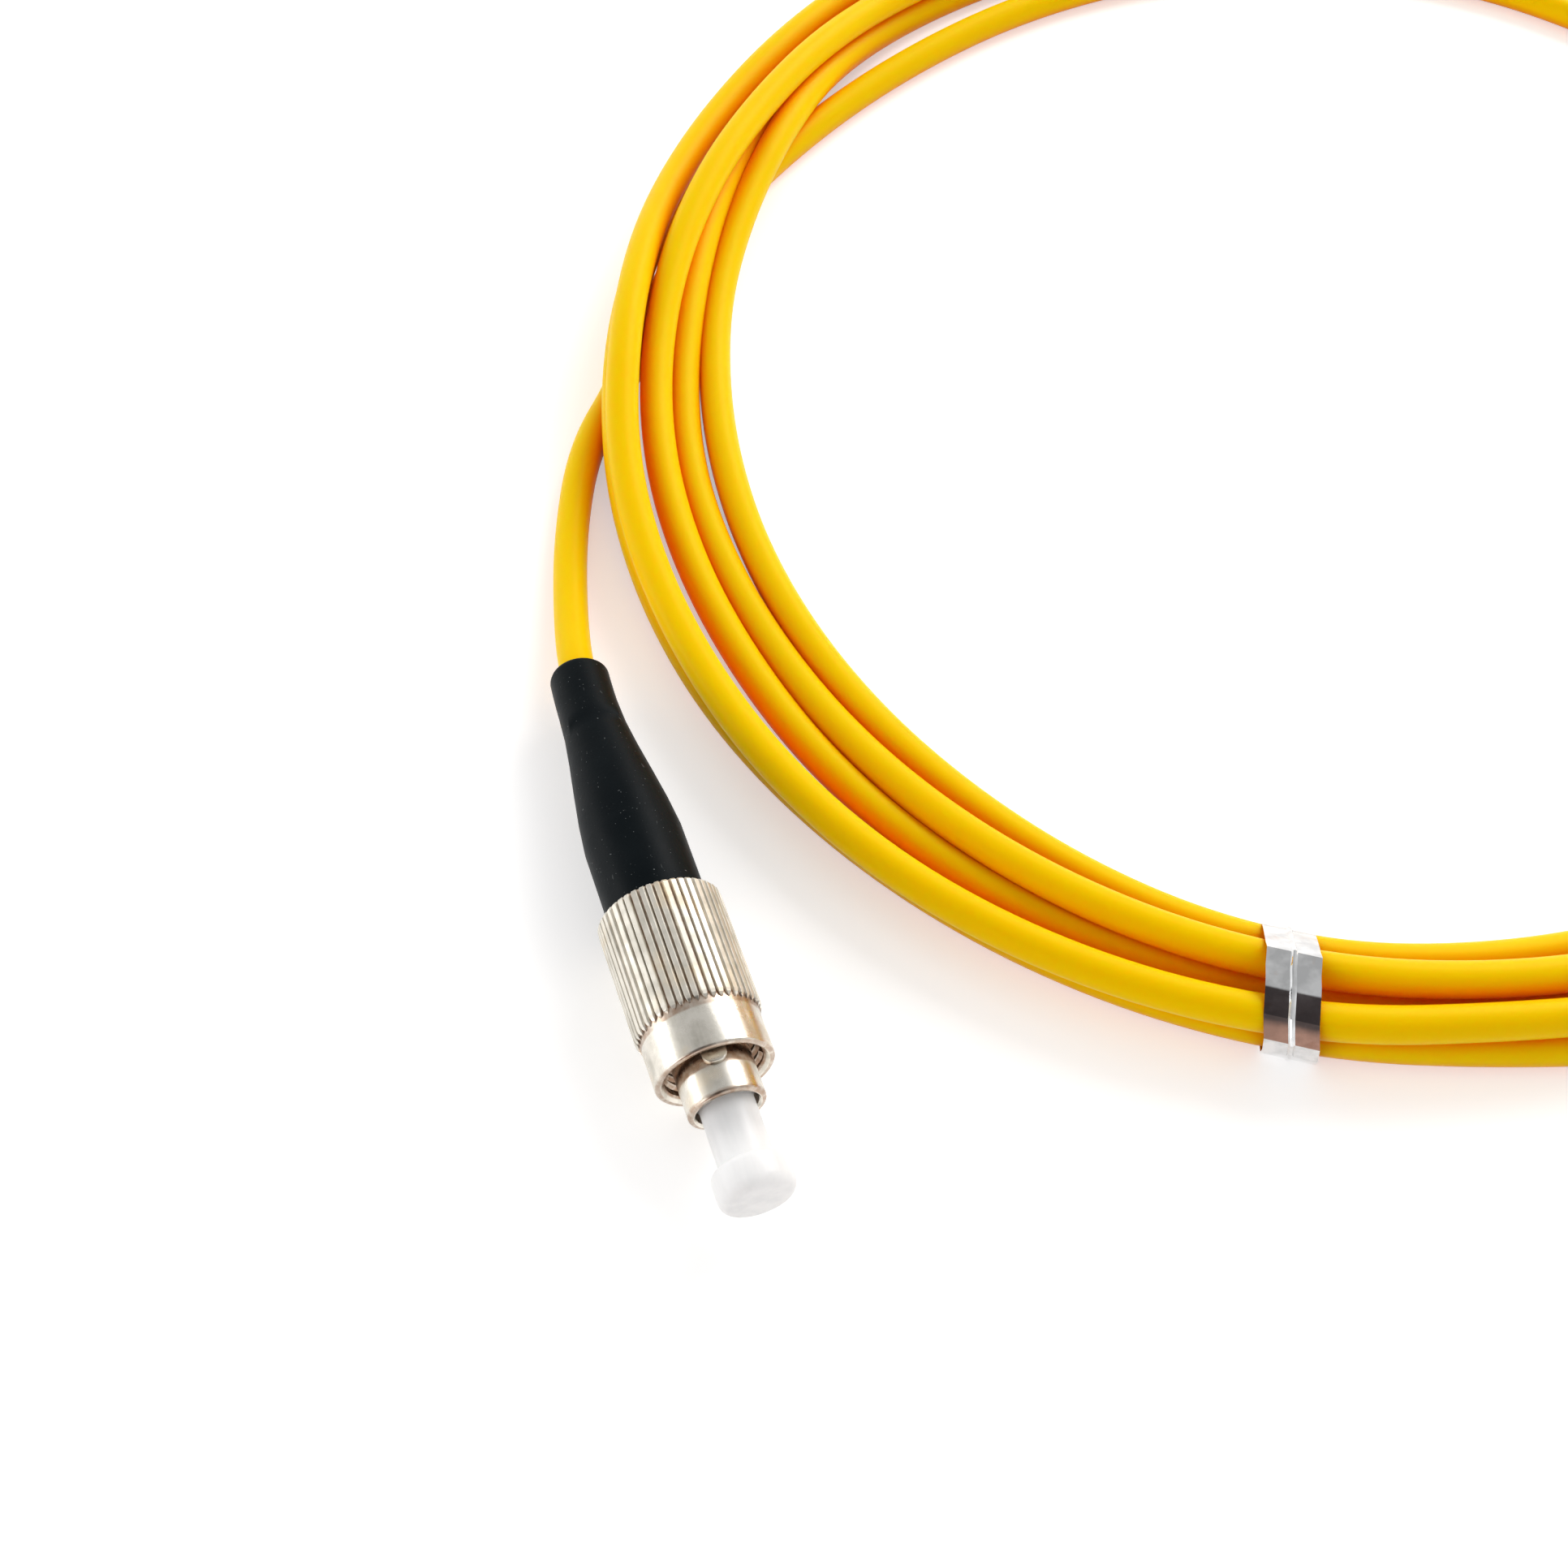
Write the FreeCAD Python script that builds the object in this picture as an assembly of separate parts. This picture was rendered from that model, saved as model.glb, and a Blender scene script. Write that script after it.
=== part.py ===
import FreeCAD, Part
import math
import os

# Fibre optic patch cord, in millimetres. +Z is up and the floor is z = 0.
# The origin is on the floor at the centre of the coil.
# Each end carries a threaded plug whose axis lies along Y and whose nose points to -Y.
# Inside a plug, a station is the distance from the barrel's front face towards the cable.

# Cable
cable_diameter = 3.0
buffer_diameter = 0.9
fibre_diameter = 0.125

# Gaps between pieces
slide_gap = 0.1
face_gap = 0.1
seat_gap = 0.02
cap_gap = 0.02
fibre_gap = 0.005
spring_side_gap = 0.15
same_edge = 0.0001  # an edge is picked by its size, to within this much

# Where the plugs lie
plug_height = 5.0
plug_a_x = -80.15
plug_a_y = -53.3
far_end_shift_x = 1.3
far_end_shift_y = 14.3

# Ferrule, its flange and the spring behind it
ferrule_radius = 1.25
ferrule_overhang = 1.2
ferrule_tip_bevel = 0.35
ferrule_seat_depth = 1.7
ferrule_travel = 1.0
flange_radius = 2.1
flange_thickness = 2.1
flange_bevel = 0.25
tail_radius = 0.9
tail_length = 3.7
tail_bore_gap = 0.05
spring_wire_diameter = 0.4
spring_radius = 1.45
spring_length = 6.0
spring_turns = 6

# Plug barrel
barrel_radius = 3.05
barrel_length = 14.5
barrel_bore_radius = 2.45
barrel_bore_depth = 7.5
barrel_rim_radius = 0.35
barrel_mouth_bevel = 0.2
web_thickness = 1.2
collar_height = 0.4
collar_width = 1.0
key_width = 1.9
key_station = 2.4
key_nose_radius = 0.8

# Coupling nut with its retaining ring
nut_front_station = 3.03
nut_ring_radius = 4.7
nut_rim_radius = 0.3
nut_bore_radius = 3.6
nut_travel = 4.0
knurl_radius = 5.0
knurl_depth = 0.22
knurl_ridges = 48
knurl_land = 0.32
knurl_station = 7.3
knurl_bevel = 0.55
knurl_rear_bevel = 0.35
nut_mouth_bevel = 0.3
nut_web_thickness = 1.1
nut_skirt_length = 5.3
ring_thickness = 0.8
ring_height = 0.75
ring_opening = 1.4
groove_gap = 0.1

# Rear body and crimp
body_station = 12.5
body_flange_radius = 3.9
body_flange_bevel = 0.3
body_socket_depth = 2.0
body_wall = 1.0
spring_room_wall = 0.5
stem_radius = 1.9
stem_end_station = 23.0
stem_bore_radius = 1.0
stem_groove_depth = 0.15
stem_groove_width = 0.5
stem_groove_pitch = 1.1
stem_grooves = 4
yarn_thickness = 0.22
yarn_throat_radius = 0.7
crimp_wall = 0.38
crimp_small_end_length = 3.4
jacket_station = 24.5
buffer_grip_length = 4.5

# Boot: distances run along the cable from the boot's front end
boot_radius = 4.0
boot_skirt_gap = 0.2
boot_waist_distance = 17.2
boot_waist_radius = 2.9
boot_neck_distance = 19.6
boot_neck_radius = 2.6
boot_length = 27.2
boot_tip_radius = 2.5
boot_tip_rounding = 0.35

# Dust cap
cap_stem_radius = 2.12
cap_stem_depth = 6.5
cap_bore_end = 1.0
cap_knob_station = 4.7
cap_knob_length = 2.9
cap_knob_radius = 3.0
cap_knob_rounding = 0.6

# Coil: angles are measured from +X, and the cable runs clockwise seen from above
coil_turns = 5
strand_gap = 0.5
tie_angle = 237.0
tie_radius = 62.6
side_radius = 62.2
first_far_radius = 62.0
far_radius = 67.6
first_near_radius = 57.5
entry_angle = 112.0
entry_radius = 61.8
stagger_room = 0.3
side_room = 0.7
climb_room = 0.6
crossing_room = 0.5

# Twist tie round the bundle
tie_width = 4.2
tie_gap = 0.3
tie_foil_thickness = 0.25
tie_ridge_radius = 0.36
tie_wire_radius = 0.22

# Worked out from the sizes above
cable_radius = cable_diameter / 2
web_rear = barrel_bore_depth + web_thickness
flange_rear = web_rear + flange_thickness
ferrule_rear = web_rear + ferrule_seat_depth
tail_end = flange_rear + tail_length
spring_seat = flange_rear + spring_length
spring_room_radius = spring_radius + spring_wire_diameter / 2 + spring_side_gap
nut_web_rear = body_station - face_gap
nut_web_front = nut_web_rear - nut_web_thickness
ring_rear = nut_web_front - groove_gap
ring_front = ring_rear - ring_thickness
ring_inner_radius = barrel_radius + slide_gap
ring_outer_radius = ring_inner_radius + ring_height
collar_rear = ring_front - nut_travel - face_gap
collar_front = collar_rear - collar_width
collar_radius = barrel_radius + collar_height
nut_rear = nut_web_rear + nut_skirt_length
nut_skirt_radius = boot_radius + boot_skirt_gap
body_socket_end = body_station + body_socket_depth
body_flange_end = body_socket_end + body_wall
boot_front = body_flange_end + face_gap
sheath_radius = spring_room_radius + spring_room_wall
sheath_end = spring_seat + body_wall
yarn_radius = stem_radius + yarn_thickness
crimp_front = sheath_end + face_gap
crimp_radius = yarn_radius + crimp_wall
crimp_small_radius = cable_radius + seat_gap + crimp_wall
crimp_rear = jacket_station + crimp_small_end_length
buffer_rear = jacket_station + buffer_grip_length
jacket_bore_end = buffer_rear + ferrule_travel + 2 * face_gap
fibre_bore_radius = fibre_diameter / 2 + fibre_gap
buffer_bore_radius = buffer_diameter / 2 + tail_bore_gap
strand_pitch = cable_diameter + strand_gap
floor_level = cable_radius
upper_level = cable_radius + strand_pitch
tie_lift = tie_gap + tie_foil_thickness / 2 + tie_ridge_radius + seat_gap

# Free cable behind a plug, from the jacket's end to the start of the coil:
# sideways from the plug's axis, station, and height above the floor
lead_stations = [
    (0, jacket_station, plug_height),
    (0, 32.8, plug_height),
    (0.25, 42.6, 3.9),
    (1.75, 50.3, 2.2),
    (3.65, 59.0, floor_level),
    (7.95, 67.8, floor_level),
]
lead_a_points = [
    (plug_a_x + sideways, plug_a_y + station, height)
    for sideways, station, height in lead_stations
]


def vector(x, y, z):
    return FreeCAD.Vector(x, y, z)


def forward(solid):
    # A solid whose faces point outwards
    if solid.Volume < 0:
        solid.reverse()
    return solid


def turned(outline):
    # A solid of revolution about the plug's axis from (station, radius) corners
    corners = [vector(radius, station, 0) for station, radius in outline]
    face = Part.Face(Part.makePolygon(corners + corners[:1]))
    return forward(face.revolve(vector(0, 0, 0), vector(0, 1, 0), 360))


def tube_shape(front, rear, outer, inner):
    return turned([(front, inner), (front, outer), (rear, outer), (rear, inner)])


def rod(front, rear, radius):
    return turned([(front, 0), (front, radius), (rear, radius), (rear, 0)])


def round_rims(solid, rounding, rims):
    # Rounds the circular edges that lie at the given (station, radius) pairs
    picked = []
    for edge in solid.Edges:
        if not isinstance(edge.Curve, Part.Circle):
            continue
        for station, radius in rims:
            at_station = abs(edge.Curve.Center.y - station) < same_edge
            if at_station and abs(edge.Curve.Radius - radius) < same_edge:
                picked.append(edge)
    return solid.makeFillet(rounding, picked)


def route_edges(points):
    # Straight runs joined by tangent arcs, each as large as its two runs allow
    corners = [vector(*point) for point in points]
    edges = []
    radii = []
    start = corners[0]
    for before, corner, after in zip(corners, corners[1:], corners[2:]):
        arriving = (corner - before).normalize()
        leaving = (after - corner).normalize()
        half_turn = arriving.getAngle(leaving) / 2
        reach = 0.45 * min(corner.distanceToPoint(before), corner.distanceToPoint(after))
        radius = reach / math.tan(half_turn)
        arc_start = corner - arriving * reach
        arc_end = corner + leaving * reach
        inward = (leaving - arriving).normalize()
        middle = corner + inward * (radius / math.cos(half_turn) - radius)
        edges.append(Part.LineSegment(start, arc_start).toShape())
        edges.append(Part.Arc(arc_start, middle, arc_end).toShape())
        radii.append(radius)
        start = arc_end
    edges.append(Part.LineSegment(start, corners[-1]).toShape())
    return edges, radii


def swept(edges, radius):
    # A round tube along joined edges
    start = edges[0].valueAt(edges[0].FirstParameter)
    heading = edges[0].tangentAt(edges[0].FirstParameter)
    section = Part.Wire(Part.Circle(start, heading, radius).toShape())
    return forward(Part.Wire(edges).makePipeShell([section], True, False))


def place_along(edges, distance):
    # The point and heading at a distance along joined edges
    for edge in edges[:-1]:
        if distance <= edge.Length:
            break
        distance -= edge.Length
    else:
        edge = edges[-1]
    parameter = edge.getParameterByLength(distance)
    return edge.valueAt(parameter), edge.tangentAt(parameter)


def arc_between(start, heading, end):
    # The arc that leaves start along heading and reaches end, given by its middle point
    chord = end - start
    forward_unit = chord * (1 / chord.Length)
    sideways = heading - forward_unit * heading.dot(forward_unit)
    half_angle = math.atan2(sideways.Length, heading.dot(forward_unit))
    sagitta = chord.Length / 2 * math.tan(half_angle / 2)
    middle = (start + end) * 0.5 + sideways.normalize() * sagitta
    radius = chord.Length / 2 / math.sin(half_angle)
    return Part.Arc(start, middle, end).toShape(), radius


def biarc_edges(nodes):
    # Two tangent arcs between each pair of (point, heading) nodes
    edges = []
    radii = []
    for (start, leaving), (end, arriving) in zip(nodes, nodes[1:]):
        chord = end - start
        both = leaving + arriving
        spread = 4 - both.dot(both)
        along = chord.dot(both)
        reach = (math.sqrt(along * along + spread * chord.dot(chord)) - along) / spread
        first_corner = start + leaving * reach
        second_corner = end - arriving * reach
        joint = (first_corner + second_corner) * 0.5
        joint_heading = (second_corner - first_corner).normalize()
        for arc, radius in (
            arc_between(start, leaving, joint),
            arc_between(joint, joint_heading, end),
        ):
            edges.append(arc)
            radii.append(radius)
    return edges, radii


def least_gap(edges, diameter, spacing):
    # Smallest clear distance between strands of one tube, measured on points
    points = []
    travelled = []
    total = 0.0
    for edge in edges:
        steps = max(2, round(edge.Length / spacing))
        for step in range(steps):
            parameter = edge.getParameterByLength(edge.Length * step / steps)
            point = edge.valueAt(parameter)
            points.append((point.x, point.y, point.z))
            travelled.append(total + edge.Length * step / steps)
        total += edge.Length
    skipped = 5 * diameter  # length along the tube that counts as the same strand
    closest = float("inf")
    for index, point in enumerate(points):
        for other in range(index + 1, len(points)):
            if travelled[other] - travelled[index] > skipped:
                closest = min(closest, math.dist(point, points[other]))
    return closest - diameter


# Pieces of one plug, each about the Y axis with the barrel's front face at y = 0


def dust_cap():
    knob_rear = -cap_knob_station
    knob_front = knob_rear - cap_knob_length
    bore_front = -ferrule_overhang - cap_bore_end
    bore_radius = ferrule_radius + cap_gap
    outline = [
        (knob_front, 0),
        (knob_front, cap_knob_radius),
        (knob_rear, cap_knob_radius),
        (knob_rear, cap_stem_radius),
        (cap_stem_depth, cap_stem_radius),
        (cap_stem_depth, bore_radius),
        (bore_front, bore_radius),
        (bore_front, 0),
    ]
    rims = [(knob_front, cap_knob_radius), (knob_rear, cap_knob_radius)]
    return round_rims(turned(outline), cap_knob_rounding, rims)


def ferrule():
    tip = -ferrule_overhang
    return turned([
        (tip, fibre_bore_radius),
        (tip, ferrule_radius - ferrule_tip_bevel),
        (tip + ferrule_tip_bevel, ferrule_radius),
        (ferrule_rear, ferrule_radius),
        (ferrule_rear, fibre_bore_radius),
    ])


def ferrule_flange():
    seat_radius = ferrule_radius + seat_gap
    return turned([
        (web_rear, seat_radius),
        (web_rear, flange_radius - flange_bevel),
        (web_rear + flange_bevel, flange_radius),
        (flange_rear, flange_radius),
        (flange_rear, tail_radius),
        (tail_end, tail_radius),
        (tail_end, buffer_bore_radius),
        (ferrule_rear, buffer_bore_radius),
        (ferrule_rear, seat_radius),
    ])


def spring():
    # A helix of quarter turns whose ends run straight for one wire diameter
    wire = spring_wire_diameter
    first = flange_rear + wire / 2
    climb = (spring_length - wire) / spring_turns
    slope = climb / (2 * math.pi * spring_radius)
    rise = slope / math.hypot(1, slope)
    turn = 1 / math.hypot(1, slope)
    nodes = []
    for quarter in range(4 * spring_turns + 1):
        angle = quarter * math.pi / 2
        across = math.cos(angle)
        up = math.sin(angle)
        point = vector(spring_radius * across, first + climb * quarter / 4, spring_radius * up)
        heading = vector(-turn * up, rise, turn * across)
        nodes.append((point, heading))
    edges, radii = biarc_edges(nodes)
    tail_in = nodes[0][0] - vector(0, 0, wire)
    tail_out = nodes[-1][0] + vector(0, 0, wire)
    edges.insert(0, Part.LineSegment(tail_in, nodes[0][0]).toShape())
    edges.append(Part.LineSegment(nodes[-1][0], tail_out).toShape())
    return edges, radii


def plug_barrel():
    shell = turned([
        (0, barrel_bore_radius + barrel_mouth_bevel),
        (0, barrel_radius),
        (collar_front, barrel_radius),
        (collar_front, collar_radius),
        (collar_rear, collar_radius),
        (collar_rear, barrel_radius),
        (barrel_length, barrel_radius),
        (barrel_length, flange_radius + slide_gap),
        (web_rear, flange_radius + slide_gap),
        (web_rear, ferrule_radius + slide_gap),
        (barrel_bore_depth, ferrule_radius + slide_gap),
        (barrel_bore_depth, barrel_bore_radius),
        (barrel_mouth_bevel, barrel_bore_radius),
    ])
    shell = round_rims(shell, barrel_rim_radius, [(0, barrel_radius)])
    wall_middle = (barrel_radius + barrel_bore_radius) / 2
    key_length = collar_rear - key_station
    key = Part.makeBox(
        key_width,
        key_length,
        collar_radius,
        vector(-key_width / 2, key_station, wall_middle),
    )
    nose = [
        edge for edge in key.Edges
        if abs(edge.tangentAt(edge.FirstParameter).z) > 0.5
        and edge.CenterOfMass.y < key_station + key_nose_radius
    ]
    key = key.makeFillet(key_nose_radius, nose)
    key = key.common(rod(0, collar_rear, collar_radius))
    return shell.fuse(key).removeSplitter()


def coupling_nut():
    # The ridged prism is cut by two cones, which scallop the ridges' ends
    land = knurl_land / knurl_radius
    pitch = 2 * math.pi / knurl_ridges
    corners = []
    for ridge in range(knurl_ridges):
        middle = ridge * pitch
        for angle, radius in (
            (middle - land / 2, knurl_radius),
            (middle + land / 2, knurl_radius),
            (middle + pitch / 2, knurl_radius - knurl_depth),
        ):
            corners.append(vector(radius * math.sin(angle), 0, radius * math.cos(angle)))
    section = Part.Face(Part.makePolygon(corners + corners[:1]))
    bevel_front = knurl_station - knurl_bevel
    section.translate(vector(0, bevel_front, 0))
    knurl = forward(section.extrude(vector(0, nut_rear - bevel_front, 0)))
    beyond = knurl_radius + knurl_bevel
    slope = (knurl_radius - nut_ring_radius) / knurl_bevel
    low = nut_ring_radius - knurl_depth
    cones = turned([
        (bevel_front - knurl_depth / slope, 0),
        (bevel_front - knurl_depth / slope, low),
        (knurl_station + (beyond - knurl_radius) / slope, beyond),
        (nut_rear - knurl_rear_bevel - (beyond - knurl_radius), beyond),
        (nut_rear, knurl_radius - knurl_rear_bevel),
        (nut_rear, 0),
    ])
    ring = rod(nut_front_station, knurl_station + knurl_bevel, nut_ring_radius)
    ring = round_rims(ring, nut_rim_radius, [(nut_front_station, nut_ring_radius)])
    groove_front = ring_front - groove_gap
    groove_radius = ring_outer_radius + groove_gap
    bore = turned([
        (nut_front_station - nut_mouth_bevel, 0),
        (nut_front_station - nut_mouth_bevel, nut_bore_radius + 2 * nut_mouth_bevel),
        (nut_front_station + nut_mouth_bevel, nut_bore_radius),
        (groove_front, nut_bore_radius),
        (groove_front, groove_radius),
        (nut_web_front, groove_radius),
        (nut_web_front, barrel_radius + slide_gap),
        (nut_web_rear, barrel_radius + slide_gap),
        (nut_web_rear, nut_skirt_radius),
        (nut_rear + face_gap, nut_skirt_radius),
        (nut_rear + face_gap, 0),
    ])
    return knurl.common(cones).fuse(ring).cut(bore).removeSplitter()


def retaining_ring():
    ring = tube_shape(ring_front, ring_rear, ring_outer_radius, ring_inner_radius)
    opening = Part.makeBox(
        ring_opening,
        ring_thickness + 2 * face_gap,
        ring_outer_radius,
        vector(-ring_opening / 2, ring_front - face_gap, 0),
    )
    return ring.cut(opening)


def rear_body():
    blank = turned([
        (body_station, barrel_radius + seat_gap),
        (body_station, body_flange_radius - body_flange_bevel),
        (body_station + body_flange_bevel, body_flange_radius),
        (body_flange_end, body_flange_radius),
        (body_flange_end, sheath_radius),
        (sheath_end, sheath_radius),
        (sheath_end, stem_radius),
        (stem_end_station, stem_radius),
        (stem_end_station, stem_bore_radius),
        (spring_seat, stem_bore_radius),
        (spring_seat, spring_room_radius),
        (body_socket_end, spring_room_radius),
        (body_socket_end, barrel_radius + seat_gap),
    ])
    first_groove = sheath_end + stem_groove_pitch / 2
    for index in range(stem_grooves):
        front = first_groove + index * stem_groove_pitch
        groove_radius = stem_radius - stem_groove_depth
        rear = front + stem_groove_width
        blank = blank.cut(tube_shape(front, rear, yarn_radius, groove_radius))
    return blank


def aramid_yarn():
    # Strength yarn folded back over the stem, drawn in to the jacket's end
    inner = stem_radius + seat_gap
    return turned([
        (crimp_front + face_gap, inner),
        (crimp_front + face_gap, yarn_radius),
        (stem_end_station + face_gap, yarn_radius),
        (jacket_station - face_gap, cable_radius),
        (jacket_station - face_gap, yarn_throat_radius),
        (stem_end_station + face_gap, inner),
    ])


def crimp_sleeve():
    inner = yarn_radius + seat_gap
    neck_inner = cable_radius + seat_gap
    step = stem_end_station + face_gap
    return turned([
        (crimp_front, inner),
        (crimp_front, crimp_radius),
        (step, crimp_radius),
        (jacket_station, crimp_small_radius),
        (crimp_rear, crimp_small_radius),
        (crimp_rear, neck_inner),
        (jacket_station, neck_inner),
        (step, inner),
    ])


def buffered_fibre():
    front = ferrule_rear + seat_gap
    return tube_shape(front, buffer_rear, buffer_diameter / 2, fibre_bore_radius)


def glass_fibre():
    return rod(-ferrule_overhang, buffer_rear, fibre_diameter / 2)


def boot(lead_edges, plug_place):
    # Straight skirt, a cone and a slim tail that bends with the cable
    skirt_length = jacket_station - boot_front
    outside = rod(boot_front, jacket_station, boot_radius)
    outside.translate(plug_place)
    rings = []
    for distance, radius in (
        (skirt_length, boot_radius),
        (boot_waist_distance, boot_waist_radius),
        (boot_neck_distance, boot_neck_radius),
        (boot_length, boot_tip_radius),
    ):
        point, heading = place_along(lead_edges, distance - skirt_length)
        rings.append(Part.Wire(Part.Circle(point, heading, radius).toShape()))
    tail = forward(Part.makeLoft(rings, True, True))
    tip_edges = [
        edge for edge in tail.Edges
        if isinstance(edge.Curve, Part.Circle)
        and abs(edge.Curve.Radius - boot_tip_radius) < same_edge
    ]
    tail = tail.makeFillet(boot_tip_rounding, tip_edges)
    outside = outside.fuse(tail).removeSplitter()
    cavity = turned([
        (boot_front - face_gap, 0),
        (boot_front - face_gap, crimp_radius + slide_gap),
        (stem_end_station + face_gap, crimp_radius + slide_gap),
        (jacket_station, crimp_small_radius + slide_gap),
        (crimp_rear + face_gap, crimp_small_radius + slide_gap),
        (crimp_rear + face_gap, 0),
    ])
    cavity.translate(plug_place)
    cable_way = swept(lead_edges, cable_radius + slide_gap)
    return outside.cut(cavity).cut(cable_way)


def lead(lead_edges, plug_place):
    # The jacket, bored at its cut end for the buffered fibre
    tube = swept(lead_edges, cable_radius)
    bore = rod(jacket_station - face_gap, jacket_bore_end, buffer_bore_radius)
    bore.translate(plug_place)
    return tube.cut(bore)


def lane(angle, radius, height):
    # A point of the coil with its clockwise heading
    turn = math.radians(angle)
    point = vector(radius * math.cos(turn), radius * math.sin(turn), height)
    return point, vector(math.sin(turn), -math.cos(turn), 0)


def coil_edges(start, start_heading, end, end_heading):
    # The turns spread outwards in two layers, and each rises to cross the first strand
    half_step = (strand_pitch + stagger_room) / 2
    side_step = (strand_pitch + side_room) / 2
    near_step = strand_pitch + climb_room
    crossing_rise = strand_pitch + crossing_room
    first_node = start + start_heading * cable_diameter
    last_node = end - end_heading * cable_diameter
    nodes = [(first_node, start_heading)]
    nodes.append(lane(entry_angle, entry_radius, floor_level))
    nodes.append(lane(tie_angle - 180, first_far_radius, floor_level))
    nodes.append(lane(tie_angle - 270, first_near_radius, floor_level))
    for turn in range(1, coil_turns + 1):
        step = turn - 1
        here = floor_level if turn % 2 else upper_level
        nodes.append(lane(tie_angle, tie_radius + step * half_step, here + tie_lift))
        nodes.append(lane(tie_angle - 90, side_radius + step * side_step, here + crossing_rise))
        nodes.append(lane(tie_angle - 180, far_radius + step * half_step, here))
        if turn < coil_turns:
            near_radius = first_near_radius + turn * near_step
            nodes.append(lane(tie_angle - 270, near_radius, floor_level))
    nodes.append((last_node, end_heading))
    edges, radii = biarc_edges(nodes)
    edges.insert(0, Part.LineSegment(start, first_node).toShape())
    edges.append(Part.LineSegment(last_node, end).toShape())
    return edges, radii


def bundle_centres():
    # Corners of the bundle's section at the tie, in the plane of radius and height
    half_step = (strand_pitch + stagger_room) / 2
    low = floor_level + tie_lift
    high = upper_level + tie_lift
    last = coil_turns - 1
    corners = [
        vector(tie_radius, 0, low),
        vector(tie_radius + last * half_step, 0, low),
        vector(tie_radius + (last - 1) * half_step, 0, high),
        vector(tie_radius + half_step, 0, high),
    ]
    return Part.makePolygon(corners + corners[:1])


def to_tie(solid):
    solid.rotate(vector(0, 0, 0), vector(0, 0, 1), tie_angle)
    return solid


def offset_prism(distance, width):
    face = Part.Face(bundle_centres().makeOffset2D(distance))
    face.translate(vector(0, -width / 2, 0))
    return forward(face.extrude(vector(0, width, 0)))


def tie_centreline():
    middle = cable_radius + tie_gap + tie_foil_thickness / 2
    return bundle_centres().makeOffset2D(middle).OrderedEdges


def twist_tie():
    # A foil strip closed round the bundle, with a ridge over its core wire
    inside = cable_radius + tie_gap
    band = offset_prism(inside + tie_foil_thickness, tie_width)
    band = band.cut(offset_prism(inside, tie_width + 2 * face_gap))
    ridge = swept(tie_centreline(), tie_ridge_radius)
    channel = swept(tie_centreline(), tie_wire_radius + seat_gap)
    return to_tie(band.fuse(ridge).cut(channel).removeSplitter())


def tie_wire():
    return to_tie(swept(tie_centreline(), tie_wire_radius))


def mirrored(point):
    x, y, z = point
    return (far_end_shift_x - x, y + far_end_shift_y, z)


def save(name, solid):
    os.makedirs("parts", exist_ok=True)
    solid.exportStep("parts/" + name + ".step")
    print(name, "volume", round(solid.Volume, 2), "valid", solid.isValid(), len(solid.Solids))


def save_plug(end, points):
    place = vector(points[0][0], points[0][1] - jacket_station, plug_height)
    lead_edges, radii = route_edges(points)
    print("lead", end, "radii", [round(radius, 1) for radius in radii])
    spring_edges, spring_radii = spring()
    pieces = {
        "dust_cap": dust_cap(),
        "ferrule": ferrule(),
        "ferrule_flange": ferrule_flange(),
        "spring": swept(spring_edges, spring_wire_diameter / 2),
        "plug_barrel": plug_barrel(),
        "coupling_nut": coupling_nut(),
        "retaining_ring": retaining_ring(),
        "rear_body": rear_body(),
        "aramid_yarn": aramid_yarn(),
        "crimp_sleeve": crimp_sleeve(),
        "buffered_fibre": buffered_fibre(),
        "glass_fibre": glass_fibre(),
    }
    for name, solid in pieces.items():
        solid.translate(place)
        save(name + "_" + end, solid)
    save("boot_" + end, boot(lead_edges, place))
    cord = lead(lead_edges, place)
    section = math.pi * cable_radius ** 2
    length = sum(edge.Length for edge in lead_edges)
    print("lead", end, "length", round(length, 1), "section x length", round(section * length, 1))
    save("cord_lead_" + end, cord)
    spring_gap = least_gap(spring_edges, spring_wire_diameter, spring_wire_diameter / 4)
    print("spring", end, "least gap", round(spring_gap, 2), "least radius",
          round(min(spring_radii), 2))
    return length


def main():
    lead_b_points = [mirrored(point) for point in lead_a_points]
    length_a = save_plug("a", lead_a_points)
    length_b = save_plug("b", lead_b_points)

    start = vector(*lead_a_points[-1])
    start_heading = (start - vector(*lead_a_points[-2])).normalize()
    end = vector(*lead_b_points[-1])
    end_heading = (vector(*lead_b_points[-2]) - end).normalize()
    edges, radii = coil_edges(start, start_heading, end, end_heading)
    coil = swept(edges, cable_radius)
    coil_length = sum(edge.Length for edge in edges)
    section = math.pi * cable_radius ** 2
    print("coil length", round(coil_length, 1), "section x length",
          round(section * coil_length, 1), "least radius", round(min(radii), 1))
    print("coil least gap", round(least_gap(edges, cable_diameter, cable_radius), 2))
    save("cord_coil", coil)
    save("twist_tie", twist_tie())
    save("tie_wire", tie_wire())
    print("cord length", round(length_a + coil_length + length_b, 1))


main()
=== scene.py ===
import math
import random

import bmesh
import bpy
from mathutils import Matrix, Vector


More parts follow.
